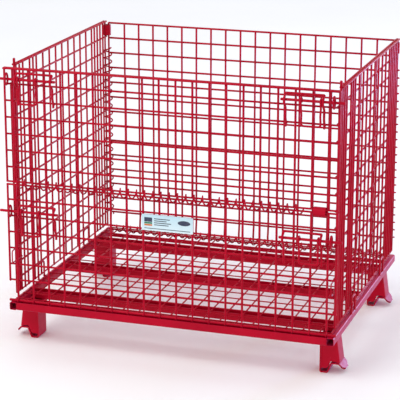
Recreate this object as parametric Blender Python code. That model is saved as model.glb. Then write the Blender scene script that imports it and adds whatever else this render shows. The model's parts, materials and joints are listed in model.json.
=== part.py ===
"""Folding steel mesh box pallet.

A channel-section base on four stacking feet carries a mesh floor. The back panel stands on a coil
hinge, the two side panels turn on coil hinges at its edges, and the front gate folds in two halves
that four sliding bolts hold shut.

Metres, +Z up. X runs across the front, the gate faces -Y, and the origin is on the ground at the
centre of the object's box. Mesh panels are drawn with every second wire of the real 50 mm grid.
"""

import math

import bmesh
import bpy
from mathutils import Vector

GAP = 0.0003

# Overall sizes. Depths are measured back from the gate's plane.
HALF_WIDTH = 0.500
BACK_DEPTH = 0.786
RAIL_FRONT = -0.012
RAIL_BACK = 0.805
EYE_FRONT = -0.0275
GATE_Y = -(RAIL_BACK + EYE_FRONT) / 2

# Base
RAIL_LOW = 0.112
RAIL_HIGH = 0.136
RAIL_WALL = 0.003
SIDE_RAIL_INNER = 0.478
FRONT_RAIL_DEPTH = 0.040
REAR_RAIL_DEPTH = 0.038
REAR_FLANGE_HIGH = 0.124
BEAM_DEPTH = 0.036
BEAM_INSET = 0.115
HINGE_ROD_Z = 0.1403
HINGE_ROD_RADIUS = 0.004
HINGE_ROD_HALF_LENGTH = 0.504
BACK_ROD_Z = 0.134
BACK_ROD_RADIUS = 0.003
STAPLE_DEPTHS = (0.228, 0.604)
STAPLE_HEIGHT = 0.050
STAPLE_HALF_WIDTH = 0.022
STAPLE_BEND = 0.006
STAPLE_RADIUS = 0.0032
STAPLE_X = 0.4985

# Mesh
WIRE = 0.0045
GRID = 0.100
FLOOR_Z = RAIL_HIGH + GAP + WIRE / 2
FLOOR_EDGE_X = 0.487
FLOOR_FRONT = 0.015
FLOOR_BACK = 0.765
FLOOR_ROWS = 9

# Panels
TOP_Z = 0.850
BACK_TOP_Z = 0.844
BACK_EDGE_X = 0.4805
BACK_LOW_Z = 0.144
SIDE_X = 0.4905
SIDE_FRONT = 0.027
SIDE_PIN_DEPTH = 0.050
SIDE_STEP_Z = 0.800
SIDE_BAYS = 8
SIDE_PIVOT_Z = 0.5
SIDE_LOW_Z = 0.1542
PIN_RADIUS = 0.004
PIN_HIGH_Z = 0.870
KEEPER_RADIUS = 0.002
KEEPER_Z = (0.259, 0.297)
KEEPER_FRONT = -0.008
KEEPER_CORNER = 0.008

# Gate
GATE_ROWS_LOW = (0.203, 0.303, 0.403, 0.501)
GATE_ROWS_HIGH = (0.510, 0.603, 0.703, 0.803, 0.850)
EYELET_OUTER = 0.0080
EYELET_INNER = 0.0046
EYELET_SIDES = 8
LABEL_HALF_WIDTH = 0.078
LABEL_Z = (0.402, 0.450)
LABEL_THICKNESS = 0.0015

# Coil hinges
COIL_PITCH = 0.025
COIL_WIRE_RADIUS = 0.002
GATE_COIL_RADIUS = 0.0130
GATE_COIL_OFFSET = 0.0025
BACK_COIL_RADIUS = 0.0108
SIDE_COIL_RADIUS = 0.0133
COIL_START_X = -0.475
GATE_COIL_TURNS = 35
BACK_COIL_TURNS = 37
BACK_COIL_SHIFT = 0.0094
SIDE_COIL_TURNS = 23
SIDE_COIL_SHIFT = 0.0135
SIDE_COIL_LOW_Z = 0.175
SIDE_CLIP_Z = 0.822
SIDE_CLIP_LENGTH = 0.034
GATE_CLIP_X = 0.451
GATE_CLIP_LENGTH = 0.036
GATE_HINGE_OFFSET = 0.0035
GATE_HINGE_Z = 0.5055
BACK_HINGE_Z = 0.139
SIDE_HINGE_X = 0.485
CLIP_INNER = 0.0112
CLIP_OUTER = 0.0132

# Latches, measured for the +X side and mirrored
BOLT_Z = (0.423, 0.821)
BOLT_DEPTH = -0.0145
BOLT_RADIUS = 0.004
BOLT_X = (0.335, 0.520)
BRACKET_X = (0.3475, 0.458)
BRACKET_RADIUS = 0.0035
BRACKET_BACK = -0.0064
BRACKET_FRONT = -0.0227
BRACKET_NECK = -0.010
BRACKET_DROP = 0.080
BRACKET_RISE = 0.017
BRACKET_CORNER = 0.008
HANDLE_X = (0.394, 0.451)
HANDLE_RADIUS = 0.003
HANDLE_CLEARANCE = 0.0004
HANDLE_DROP = 0.072
HANDLE_CORNER = 0.006
EYE_X = 0.4875
EYE_RADIUS = 0.003
EYE_HALF_DEPTH = BOLT_DEPTH - EYE_FRONT - EYE_RADIUS
EYE_HALF_HEIGHT = 0.0165
EYE_POINTS = 16

# Feet, measured for the +X side and mirrored
FOOT_FRONT = 0.064
FOOT_DEPTH = 0.060
FOOT_TOP = RAIL_LOW - GAP
FOOT_INNER_X = 0.441
FOOT_OUTER_X = 0.490
FOOT_FLARE_X = 0.501
FOOT_FLARE_Z = 0.034
LEDGE_X = (0.477, 0.498)
LEDGE_Z = 0.029
STRIP = 0.004
SHELL = 0.003
SHELL_INSET = 0.0005
SHELL_CLEARANCE = 0.004

RED = (0.52, 0.006, 0.022)
DEEP_RED = (0.42, 0.004, 0.016)
PALE_BLUE = (0.62, 0.74, 0.82)
SIDES = {"left": -1, "right": 1}


def clear_scene():
    for old in list(bpy.data.objects):
        bpy.data.objects.remove(old, do_unlink=True)


def paint(name, colour, roughness, metallic):
    material = bpy.data.materials.new(name)
    material.use_nodes = True
    shader = material.node_tree.nodes["Principled BSDF"]
    shader.inputs["Base Color"].default_value = (*colour, 1)
    shader.inputs["Roughness"].default_value = roughness
    shader.inputs["Metallic"].default_value = metallic
    return material


def at(x, depth, z):
    """A world point, from its depth behind the gate's plane."""
    return Vector((x, GATE_Y + depth, z))


def pivot(name, point, parent=None):
    """An empty on a joint's axis. The pieces that turn with it are its children."""
    empty = bpy.data.objects.new(name, None)
    bpy.context.scene.collection.objects.link(empty)
    empty.parent = parent
    empty.location = point - (world_of(parent) if parent else Vector())
    empty["world"] = point
    return empty


def world_of(empty):
    return Vector(empty["world"])


def add(name, shape, look, parent=None, smooth=False):
    """Makes the object of a bmesh drawn in world coordinates, with its origin on its parent's."""
    origin = world_of(parent) if parent else Vector()
    bmesh.ops.translate(shape, verts=shape.verts, vec=-origin)
    bmesh.ops.recalc_face_normals(shape, faces=shape.faces)
    data = bpy.data.meshes.new(name)
    shape.to_mesh(data)
    shape.free()
    if smooth:
        data.shade_smooth()
        data.set_sharp_from_angle(angle=math.radians(50))
    data.materials.append(look)
    piece = bpy.data.objects.new(name, data)
    bpy.context.scene.collection.objects.link(piece)
    piece.parent = parent
    return piece


# ---- shapes ----


def lattice(bars, thickness, place):
    """Flat bars (u0, v0, u1, v1) of one plane, fused into one solid and centred on that plane.

    place turns (u, v, w) into a world point.
    """
    us = sorted({round(u, 6) for bar in bars for u in (bar[0], bar[2])})
    vs = sorted({round(v, 6) for bar in bars for v in (bar[1], bar[3])})

    def filled(i, j):
        if not (0 <= i < len(us) - 1 and 0 <= j < len(vs) - 1):
            return False
        u = (us[i] + us[i + 1]) / 2
        v = (vs[j] + vs[j + 1]) / 2
        return any(b[0] < u < b[2] and b[1] < v < b[3] for b in bars)

    shape = bmesh.new()
    made = {}

    def corner(i, j, k):
        if (i, j, k) not in made:
            made[i, j, k] = shape.verts.new(place(us[i], vs[j], (k - 0.5) * thickness))
        return made[i, j, k]

    for i in range(len(us) - 1):
        for j in range(len(vs) - 1):
            if not filled(i, j):
                continue
            ring = [(i, j), (i + 1, j), (i + 1, j + 1), (i, j + 1)]
            shape.faces.new([corner(*c, 1) for c in ring])
            shape.faces.new([corner(*c, 0) for c in reversed(ring)])
            beyond = [(i, j - 1), (i + 1, j), (i, j + 1), (i - 1, j)]
            for n, cell in enumerate(beyond):
                if not filled(*cell):
                    a, b = ring[n], ring[(n + 1) % 4]
                    shape.faces.new([corner(*a, 0), corner(*b, 0), corner(*b, 1), corner(*a, 1)])
    return shape


def upright(u, low, high, width=WIRE):
    return (u - width / 2, low, u + width / 2, high)


def level(v, low, high, width=WIRE):
    return (low, v - width / 2, high, v + width / 2)


def tube(path, radius, sides, closed=False):
    """A round bar along a path, with mitred corners and flat ends."""
    path = [Vector(p) for p in path]
    count = len(path)
    shape = bmesh.new()
    rings = []
    runs = [(path[(i + 1) % count] - path[i]).normalized() for i in range(count)]
    first = runs[0]
    normal = first.orthogonal().normalized()
    for i in range(count):
        before = runs[i - 1] if closed or i > 0 else first
        after = runs[i] if closed or i < count - 1 else before
        if i > 0:
            normal = runs[i - 2].rotation_difference(before) @ normal if i > 1 else normal
        mitre = (before + after).normalized()
        across = before.cross(normal)
        ring = []
        for n in range(sides):
            angle = 2 * math.pi * (n + 0.5) / sides
            offset = radius * (math.cos(angle) * normal + math.sin(angle) * across)
            offset -= before * (offset.dot(mitre) / before.dot(mitre))
            ring.append(shape.verts.new(path[i] + offset))
        rings.append(ring)
    links = count if closed else count - 1
    for i in range(links):
        a, b = rings[i], rings[(i + 1) % count]
        for n in range(sides):
            m = (n + 1) % sides
            shape.faces.new([a[n], a[m], b[m], b[n]])
    if not closed:
        shape.faces.new(rings[0])
        shape.faces.new(rings[-1])
    return shape


def rod(start, end, radius, sides=12):
    return tube([start, end], radius, sides)


def prism(outline, place, low, high):
    """An outline (u, v), extruded from low to high. place turns (u, v, w) into a world point."""
    shape = bmesh.new()
    bottom = [shape.verts.new(place(u, v, low)) for u, v in outline]
    top = [shape.verts.new(place(u, v, high)) for u, v in outline]
    shape.faces.new(bottom)
    shape.faces.new(top)
    for n in range(len(outline)):
        m = (n + 1) % len(outline)
        shape.faces.new([bottom[n], bottom[m], top[m], top[n]])
    return shape


def strip_outline(points, thickness):
    """The outline of a bent strip whose right-hand face follows the points."""
    points = [Vector(p) for p in points]
    sides = []
    for a, b in zip(points, points[1:]):
        run = (b - a).normalized()
        sides.append(Vector((-run.y, run.x)))
    inner = []
    for n, point in enumerate(points):
        before = sides[max(n - 1, 0)]
        after = sides[min(n, len(sides) - 1)]
        middle = (before + after).normalized()
        inner.append(point + middle * thickness / middle.dot(before))
    return [tuple(p) for p in points] + [tuple(p) for p in reversed(inner)]


def coil(centre, across, up, along, turns, radius, shift, parts):
    """A helix round an axis. Its wire crosses the across direction at shift past whole pitches."""
    path = []
    for n in range(round(turns * parts) + 1):
        angle = 2 * math.pi * n / parts
        spoke = radius * (math.cos(angle) * across + math.sin(angle) * up)
        path.append(centre + spoke + along * (shift + COIL_PITCH * n / parts))
    return tube(path, COIL_WIRE_RADIUS, 3)


def ring_tube(shape, centre, along, length, outer, inner, sides):
    """Adds a short round tube, open at both ends, to a bmesh."""
    across = along.orthogonal().normalized()
    up = along.cross(across)
    rings = []
    for radius, end in ((outer, -0.5), (outer, 0.5), (inner, 0.5), (inner, -0.5)):
        ring = []
        for n in range(sides):
            angle = 2 * math.pi * (n + 0.5) / sides
            spoke = radius * (math.cos(angle) * across + math.sin(angle) * up)
            ring.append(shape.verts.new(centre + spoke + along * end * length))
        rings.append(ring)
    for i, a in enumerate(rings):
        b = rings[(i + 1) % len(rings)]
        for n in range(sides):
            m = (n + 1) % sides
            shape.faces.new([a[n], a[m], b[m], b[n]])


def sleeve(centre, along, length):
    """A sheet clip wrapped round two wires."""
    shape = bmesh.new()
    ring_tube(shape, centre, along, length, CLIP_OUTER, CLIP_INNER, 12)
    return shape


# ---- base ----


def channel(name, start, depth, look):
    """An open-topped channel between the side rails."""
    end_x = SIDE_RAIL_INNER - GAP
    bars = [
        (start, RAIL_LOW, start + depth, RAIL_LOW + RAIL_WALL),
        (start, RAIL_LOW, start + RAIL_WALL, RAIL_HIGH),
        (start + depth - RAIL_WALL, RAIL_LOW, start + depth, RAIL_HIGH),
    ]
    add(name, lattice(bars, 2 * end_x, lambda u, v, w: at(w, u, v)), look)


def rear_rail(look):
    """An angle whose upright flange faces the floor mesh and ends below the back panel's coil."""
    end_x = SIDE_RAIL_INNER - GAP
    start = RAIL_BACK - REAR_RAIL_DEPTH
    bars = [
        (start, RAIL_LOW, RAIL_BACK, RAIL_LOW + RAIL_WALL),
        (start, RAIL_LOW, start + RAIL_WALL, REAR_FLANGE_HIGH),
    ]
    add("rear_rail", lattice(bars, 2 * end_x, lambda u, v, w: at(w, u, v)), look)


def side_rail(name, side, look):
    """A rectangular tube, open at both ends."""
    low, high = sorted((side * SIDE_RAIL_INNER, side * HALF_WIDTH))
    bars = [
        (low, RAIL_LOW, high, RAIL_LOW + RAIL_WALL),
        (low, RAIL_HIGH - RAIL_WALL, high, RAIL_HIGH),
        (low, RAIL_LOW, low + RAIL_WALL, RAIL_HIGH),
        (high - RAIL_WALL, RAIL_LOW, high, RAIL_HIGH),
    ]
    middle = (RAIL_FRONT + RAIL_BACK) / 2
    tube_walls = lattice(bars, RAIL_BACK - RAIL_FRONT, lambda u, v, w: at(u, middle + w, v))
    add(name, tube_walls, look)


def floor_mesh(look):
    columns = [n * GRID for n in range(-4, 5)] + [-FLOOR_EDGE_X, FLOOR_EDGE_X]
    step = (FLOOR_BACK - FLOOR_FRONT) / (FLOOR_ROWS - 1)
    reach = WIRE / 2
    bars = [upright(x, FLOOR_FRONT - reach, FLOOR_BACK + reach) for x in columns]
    for n in range(FLOOR_ROWS):
        bars.append(level(FLOOR_FRONT + n * step, -FLOOR_EDGE_X - reach, FLOOR_EDGE_X + reach))
    add("floor_mesh", lattice(bars, WIRE, lambda u, v, w: at(u, v, FLOOR_Z + w)), look)


def foot(name, side, front, look):
    """A bent strip with its toe, ledge and lip, and the folded shell that stiffens it."""
    profile = [
        (FOOT_INNER_X, FOOT_TOP),
        (FOOT_INNER_X, 0.004),
        (0.445, 0),
        (0.463, 0),
        (0.467, 0.003),
        (LEDGE_X[0], LEDGE_Z),
        (LEDGE_X[1], LEDGE_Z),
        (0.514, 0.012),
    ]

    def place(u, v, w):
        return at(side * u, w, v)

    strip = prism(strip_outline(profile, STRIP), place, front, front + FOOT_DEPTH)
    add(f"{name}_strip", strip, look)

    inner_x = FOOT_INNER_X + STRIP + GAP
    outline = [
        (inner_x, FOOT_TOP),
        (FOOT_OUTER_X, FOOT_TOP),
        (FOOT_FLARE_X, FOOT_FLARE_Z),
        (0.475, FOOT_FLARE_Z + SHELL_CLEARANCE),
        (0.463, STRIP + SHELL_CLEARANCE),
        (inner_x, STRIP + SHELL_CLEARANCE),
    ]
    low = front + SHELL_INSET
    high = front + FOOT_DEPTH - SHELL_INSET
    shell = add(f"{name}_shell", prism(outline, place, low, high), look)
    cutter = add(f"{name}_cutter", prism(foot_hollow(), place, low + SHELL, high - SHELL), look)
    cutter.hide_render = True
    cutter.display_type = "WIRE"
    cut = shell.modifiers.new("hollow", "BOOLEAN")
    cut.operation = "DIFFERENCE"
    cut.solver = "EXACT"
    cut.object = cutter


def foot_hollow():
    """The space in a foot's shell, run past its open side, top and bottom. Its outer side is the flare's."""
    slope = (FOOT_FLARE_X - FOOT_OUTER_X) / (FOOT_TOP - FOOT_FLARE_Z)
    open_x = FOOT_INNER_X - STRIP
    above = FOOT_TOP + STRIP
    below = -STRIP
    return [
        (open_x, above),
        (FOOT_OUTER_X - SHELL - slope * STRIP, above),
        (FOOT_FLARE_X - SHELL + slope * (FOOT_FLARE_Z - below), below),
        (open_x, below),
    ]


def stop_staple(name, side, depth, look):
    """An upside-down U on a side rail that keeps the side panel from leaning out."""
    x = side * STAPLE_X
    low = RAIL_HIGH + GAP
    high = low + STAPLE_HEIGHT
    path = []
    for end in (-1, 1):
        leg = depth + end * STAPLE_HALF_WIDTH
        points = [
            at(x, leg, low),
            at(x, leg, high - STAPLE_BEND),
            at(x, leg - end * STAPLE_BEND, high),
        ]
        path += points if end < 0 else reversed(points)
    add(name, tube(path, STAPLE_RADIUS, 8), look, smooth=True)


def base(looks):
    frame = looks["frame"]
    channel("front_rail", RAIL_FRONT, FRONT_RAIL_DEPTH, frame)
    rear_rail(frame)
    middle = (RAIL_FRONT + RAIL_BACK - BEAM_DEPTH) / 2
    channel("front_beam", RAIL_FRONT + BEAM_INSET, BEAM_DEPTH, frame)
    channel("middle_beam", middle, BEAM_DEPTH, frame)
    channel("rear_beam", RAIL_BACK - BEAM_INSET - BEAM_DEPTH, BEAM_DEPTH, frame)
    floor_mesh(looks["mesh"])
    reach = HINGE_ROD_HALF_LENGTH
    front = rod(at(-reach, 0, HINGE_ROD_Z), at(reach, 0, HINGE_ROD_Z), HINGE_ROD_RADIUS)
    add("front_hinge_rod", front, looks["rod"], smooth=True)
    reach = SIDE_RAIL_INNER - GAP
    back = rod(at(-reach, BACK_DEPTH, BACK_ROD_Z), at(reach, BACK_DEPTH, BACK_ROD_Z), BACK_ROD_RADIUS)
    add("rear_hinge_rod", back, looks["rod"], smooth=True)
    for label, side in SIDES.items():
        side_rail(f"{label}_rail", side, frame)
        foot(f"front_{label}_foot", side, FOOT_FRONT, looks["foot"])
        rear = RAIL_FRONT + RAIL_BACK - FOOT_FRONT - FOOT_DEPTH
        foot(f"rear_{label}_foot", side, rear, looks["foot"])
        stop_staple(f"front_{label}_staple", side, STAPLE_DEPTHS[0], looks["rod"])
        stop_staple(f"rear_{label}_staple", side, STAPLE_DEPTHS[1], looks["rod"])


# ---- back and sides ----


def back_panel(parent, look):
    rows = [BACK_TOP_Z - n * GRID for n in range(7)] + [BACK_LOW_Z]
    reach = WIRE / 2
    bars = [level(z, -BACK_EDGE_X - reach, BACK_EDGE_X + reach) for z in rows]
    for x in [n * GRID for n in range(-4, 5)] + [-BACK_EDGE_X, BACK_EDGE_X]:
        bars.append(upright(x, BACK_LOW_Z - reach, BACK_TOP_Z + reach))
    grid = lattice(bars, WIRE, lambda u, v, w: at(u, BACK_DEPTH + w, v))
    add("back_panel", grid, look, parent)


def back_coil(parent, look):
    """The long coil that ties the back panel's lowest wire to the base."""
    start = at(COIL_START_X, BACK_DEPTH, BACK_HINGE_Z)
    across, up, along = Vector((0, 1, 0)), Vector((0, 0, 1)), Vector((1, 0, 0))
    shape = coil(start, across, up, along, BACK_COIL_TURNS, BACK_COIL_RADIUS, BACK_COIL_SHIFT, 10)
    add("rear_coil", shape, look, parent)


def side_panel(name, side, parent, look):
    """A grid with a stepped front edge: the top rail starts at the corner pin."""
    rows = [TOP_Z - n * GRID for n in range(1, 7)] + [SIDE_LOW_Z]
    reach = WIRE / 2
    foot = SIDE_LOW_Z - reach
    step = (BACK_DEPTH - SIDE_FRONT) / SIDE_BAYS
    bars = [level(TOP_Z, SIDE_PIN_DEPTH - reach, BACK_DEPTH + reach)]
    bars += [level(z, SIDE_FRONT - reach, BACK_DEPTH + reach) for z in rows]
    bars.append(level(SIDE_STEP_Z, SIDE_FRONT - reach, SIDE_PIN_DEPTH + reach))
    bars.append(upright(SIDE_FRONT, foot, SIDE_STEP_Z + reach))
    bars.append(upright(SIDE_PIN_DEPTH, foot, TOP_Z + reach))
    for n in range(1, SIDE_BAYS + 1):
        bars.append(upright(SIDE_FRONT + n * step, foot, TOP_Z + reach))
    grid = lattice(bars, WIRE, lambda u, v, w: at(side * (SIDE_X + w), u, v))
    add(name, grid, look, parent)


def side_group(label, side, parent, looks):
    hinge = pivot(f"{label}_side_axis", at(side * SIDE_HINGE_X, BACK_DEPTH, SIDE_PIVOT_Z), parent)
    side_panel(f"{label}_panel", side, hinge, looks["mesh"])
    start = at(side * SIDE_HINGE_X, BACK_DEPTH, SIDE_COIL_LOW_Z)
    inward, backward, upward = Vector((-side, 0, 0)), Vector((0, 1, 0)), Vector((0, 0, 1))
    shape = coil(
        start, inward, backward, upward, SIDE_COIL_TURNS, SIDE_COIL_RADIUS, SIDE_COIL_SHIFT, 6
    )
    add(f"{label}_coil", shape, looks["coil"], parent)
    clip = sleeve(at(side * SIDE_HINGE_X, BACK_DEPTH, SIDE_CLIP_Z), upward, SIDE_CLIP_LENGTH)
    add(f"{label}_clip", clip, looks["clip"], parent, smooth=True)
    x = side * SIDE_X
    low, high = (at(x, SIDE_PIN_DEPTH, z) for z in (TOP_Z + WIRE / 2 + GAP, PIN_HIGH_Z))
    pin = rod(low, high, PIN_RADIUS)
    add(f"{label}_corner_pin", pin, looks["rod"], hinge, smooth=True)
    add(f"{label}_keeper", keeper(side), looks["rod"], hinge, smooth=True)


def keeper(side):
    """A narrow U on a side panel's front edge. It reaches out through the closed gate's mesh."""
    x = side * SIDE_X
    start = SIDE_FRONT - WIRE / 2 - GAP
    bend = KEEPER_FRONT + KEEPER_CORNER
    low, high = KEEPER_Z
    path = [
        at(x, start, low),
        at(x, bend, low),
        at(x, KEEPER_FRONT, low + KEEPER_CORNER),
        at(x, KEEPER_FRONT, high - KEEPER_CORNER),
        at(x, bend, high),
        at(x, start, high),
    ]
    return tube(path, KEEPER_RADIUS, 6)


# ---- gate ----


def gate_half(name, rows, foot_z, parent, look):
    reach = WIRE / 2
    bars = [level(z, -HALF_WIDTH - reach, HALF_WIDTH + reach) for z in rows]
    for n in range(-5, 6):
        low = foot_z if abs(n) < 5 else rows[0] - reach
        bars.append(upright(n * GRID, low, rows[-1] + reach))
    return add(name, lattice(bars, WIRE, lambda u, v, w: at(u, w, v)), look, parent)


def eyelets(parent, look):
    """The closed ends of the lower gate's uprights, round the front hinge rod."""
    shape = bmesh.new()
    for n in range(-4, 5):
        centre = at(n * GRID, 0, HINGE_ROD_Z)
        ring_tube(shape, centre, Vector((1, 0, 0)), WIRE, EYELET_OUTER, EYELET_INNER, EYELET_SIDES)
    cutter = add("eyelet_rings", shape, look, parent)
    cutter.hide_render = True
    cutter.display_type = "WIRE"
    return cutter


def lower_gate_panel(parent, look):
    foot_z = HINGE_ROD_Z + EYELET_INNER + 0.001
    panel = gate_half("lower_gate", GATE_ROWS_LOW, foot_z, parent, look)
    join = panel.modifiers.new("eyelets", "BOOLEAN")
    join.operation = "UNION"
    join.solver = "EXACT"
    join.object = eyelets(parent, look)


def bracket(name, side, z, parent, look):
    """An upside-down U whose legs bulge over the bolt and are welded to the mesh."""
    inner, outer = (side * x for x in BRACKET_X)
    corner = side * BRACKET_CORNER
    leg = [
        (BRACKET_BACK, -BRACKET_DROP),
        (BRACKET_BACK, -0.024),
        (BRACKET_FRONT, -0.008),
        (BRACKET_FRONT, 0.005),
        (BRACKET_NECK, 0.0135),
    ]
    path = [at(inner, depth, z + rise) for depth, rise in leg]
    path.append(at(inner + corner, BRACKET_BACK, z + BRACKET_RISE))
    path.append(at(outer - corner, BRACKET_BACK, z + BRACKET_RISE))
    path += [at(outer, depth, z + rise) for depth, rise in reversed(leg)]
    add(name, tube(path, BRACKET_RADIUS, 8), look, parent, smooth=True)


def eye(name, side, z, parent, look):
    """An upright oval ring that the bolt's end slides through."""
    path = []
    for n in range(EYE_POINTS):
        angle = 2 * math.pi * n / EYE_POINTS
        depth = BOLT_DEPTH + EYE_HALF_DEPTH * math.cos(angle)
        path.append(at(side * EYE_X, depth, z + EYE_HALF_HEIGHT * math.sin(angle)))
    add(name, tube(path, EYE_RADIUS, 6, closed=True), look, parent, smooth=True)


def bolt(name, side, z, parent, look):
    ends = [at(side * x, BOLT_DEPTH, z) for x in BOLT_X]
    add(name, rod(*ends, BOLT_RADIUS), look, parent, smooth=True)


def handle(name, side, z, parent, look):
    """A hanging U whose two ends curl over the bolt."""
    curl = BOLT_RADIUS + HANDLE_CLEARANCE + HANDLE_RADIUS

    def leg(x):
        turn = [math.radians(angle) for angle in range(-60, 181, 30)]
        points = [at(x, BOLT_DEPTH + curl * math.cos(a), z + curl * math.sin(a)) for a in turn]
        points.append(at(x, BOLT_DEPTH - 0.0015, z - 0.020))
        points.append(at(x, BOLT_DEPTH, z - HANDLE_DROP + HANDLE_CORNER))
        return points

    inner, outer = (side * x for x in HANDLE_X)
    corner = side * HANDLE_CORNER
    path = leg(inner)
    path.append(at(inner + corner, BOLT_DEPTH, z - HANDLE_DROP))
    path.append(at(outer - corner, BOLT_DEPTH, z - HANDLE_DROP))
    path += reversed(leg(outer))
    add(name, tube(path, HANDLE_RADIUS, 6), look, parent, smooth=True)


def latch(half, label, side, z, gate, look):
    name = f"{half}_{label}"
    bracket(f"{name}_bracket", side, z, gate, look)
    eye(f"{name}_eye", side, z, gate, look)
    slide = pivot(f"{name}_bolt_axis", at(side * BOLT_X[0], BOLT_DEPTH, z), gate)
    bolt(f"{name}_bolt", side, z, slide, look)
    swing = pivot(f"{name}_handle_axis", at(side * HANDLE_X[0], BOLT_DEPTH, z), slide)
    handle(f"{name}_handle", side, z, swing, look)


def label_plate(parent, look):
    low, high = LABEL_Z
    bars = [(-LABEL_HALF_WIDTH, low, LABEL_HALF_WIDTH, high)]
    depth = -WIRE / 2 - GAP - LABEL_THICKNESS / 2
    plate = lattice(bars, LABEL_THICKNESS, lambda u, v, w: at(u, depth + w, v))
    add("label_plate", plate, look, parent)


def gate(looks):
    lower = pivot("lower_gate_axis", at(0, 0, HINGE_ROD_Z))
    upper = pivot("upper_gate_axis", at(0, -GATE_HINGE_OFFSET, GATE_HINGE_Z), lower)
    lower_gate_panel(lower, looks["mesh"])
    gate_half("upper_gate", GATE_ROWS_HIGH, GATE_ROWS_HIGH[0] - WIRE / 2, upper, looks["mesh"])
    start = at(COIL_START_X, -GATE_COIL_OFFSET, GATE_HINGE_Z)
    across, up, along = Vector((0, 1, 0)), Vector((0, 0, 1)), Vector((1, 0, 0))
    shape = coil(start, across, up, along, GATE_COIL_TURNS, GATE_COIL_RADIUS, 0, 8)
    add("gate_coil", shape, looks["coil"], lower)
    clip = sleeve(at(GATE_CLIP_X, -GATE_HINGE_OFFSET, GATE_HINGE_Z), along, GATE_CLIP_LENGTH)
    add("gate_clip", clip, looks["clip"], lower, smooth=True)
    label_plate(lower, looks["label"])
    for label, side in SIDES.items():
        latch("lower", label, side, BOLT_Z[0], lower, looks["latch"])
        latch("upper", label, side, BOLT_Z[1], upper, looks["latch"])


def main():
    clear_scene()
    looks = {
        "frame": paint("frame_paint", RED, 0.34, 0.0),
        "foot": paint("foot_paint", RED, 0.38, 0.0),
        "mesh": paint("mesh_paint", RED, 0.32, 0.0),
        "rod": paint("rod_paint", RED, 0.32, 0.0),
        "coil": paint("coil_paint", DEEP_RED, 0.36, 0.0),
        "clip": paint("clip_paint", RED, 0.30, 0.0),
        "latch": paint("latch_paint", RED, 0.30, 0.0),
        "label": paint("label_face", PALE_BLUE, 0.35, 0.0),
    }
    base(looks)
    back_coil(None, looks["coil"])
    back = pivot("back_axis", at(0, BACK_DEPTH, BACK_HINGE_Z))
    back_panel(back, looks["mesh"])
    for label, side in SIDES.items():
        side_group(label, side, back, looks)
    gate(looks)


main()
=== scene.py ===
"""Looks of the folding steel mesh box pallet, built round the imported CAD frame.

Every CAD solid is stood for by a finer piece on the same body: round welded wire at 50 mm pitch, smooth
coils, and sheet with bent corners and rolled edges, in glossy red paint. The label plate is printed.

Metres, +Z up, in the frame's own coordinates. Depths are measured back from the gate's plane.
"""

import json
import math

import bmesh
import bpy
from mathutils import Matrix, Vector

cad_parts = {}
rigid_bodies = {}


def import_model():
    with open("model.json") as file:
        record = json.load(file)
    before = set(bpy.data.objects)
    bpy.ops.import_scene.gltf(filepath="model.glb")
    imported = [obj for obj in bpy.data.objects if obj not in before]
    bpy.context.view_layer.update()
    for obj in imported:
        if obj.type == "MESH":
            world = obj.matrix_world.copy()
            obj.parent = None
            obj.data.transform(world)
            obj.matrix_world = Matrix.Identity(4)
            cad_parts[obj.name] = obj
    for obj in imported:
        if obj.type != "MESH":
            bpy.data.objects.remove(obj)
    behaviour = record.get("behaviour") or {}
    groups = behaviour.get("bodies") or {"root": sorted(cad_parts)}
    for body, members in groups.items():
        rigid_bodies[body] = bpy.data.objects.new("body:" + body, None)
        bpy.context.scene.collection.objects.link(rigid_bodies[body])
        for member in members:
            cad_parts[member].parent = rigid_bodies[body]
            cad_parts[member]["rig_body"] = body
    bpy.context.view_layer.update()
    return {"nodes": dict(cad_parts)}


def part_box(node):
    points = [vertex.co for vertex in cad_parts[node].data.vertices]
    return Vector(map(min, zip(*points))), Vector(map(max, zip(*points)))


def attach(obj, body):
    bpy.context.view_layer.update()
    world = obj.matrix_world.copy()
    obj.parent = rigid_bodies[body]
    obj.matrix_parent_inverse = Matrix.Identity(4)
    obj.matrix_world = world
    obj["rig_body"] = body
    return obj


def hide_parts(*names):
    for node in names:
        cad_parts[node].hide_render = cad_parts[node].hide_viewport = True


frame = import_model()

SIDES = {"left": -1, "right": 1}


# ---- places, read from the frame ----


def middle(node):
    low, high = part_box(node)
    return (low + high) / 2


def half_size(node):
    low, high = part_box(node)
    return (high - low) / 2


CAD_WIRE = 0.0045
PITCH = 0.050

GATE_Y = middle("front_hinge_rod").y
ROD_Z = middle("front_hinge_rod").z
ROD_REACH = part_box("front_hinge_rod")[1].x
HALF_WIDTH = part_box("right_rail")[1].x
BACK = middle("back_panel").y - GATE_Y
BACK_EDGE = half_size("back_panel").x - CAD_WIRE / 2
BACK_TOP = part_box("back_panel")[1].z - CAD_WIRE / 2
GATE_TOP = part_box("upper_gate")[1].z - CAD_WIRE / 2
GATE_SPLIT = (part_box("lower_gate")[1].z - CAD_WIRE / 2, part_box("upper_gate")[0].z + CAD_WIRE / 2)
GATE_HINGE_Z = sum(GATE_SPLIT) / 2
SIDE_X = middle("right_panel").x
SIDE_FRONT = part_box("right_panel")[0].y + CAD_WIRE / 2 - GATE_Y
SIDE_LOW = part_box("right_panel")[0].z + CAD_WIRE / 2
SIDE_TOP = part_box("right_panel")[1].z - CAD_WIRE / 2
PIN_DEPTH = middle("right_corner_pin").y - GATE_Y
PIN_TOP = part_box("right_corner_pin")[1].z
FLOOR_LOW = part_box("floor_mesh")[0].z
FLOOR_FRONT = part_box("floor_mesh")[0].y + CAD_WIRE / 2 - GATE_Y
FLOOR_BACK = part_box("floor_mesh")[1].y - CAD_WIRE / 2 - GATE_Y

RIGHT = Vector((1, 0, 0))
BACKWARD = Vector((0, 1, 0))
UP = Vector((0, 0, 1))

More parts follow.
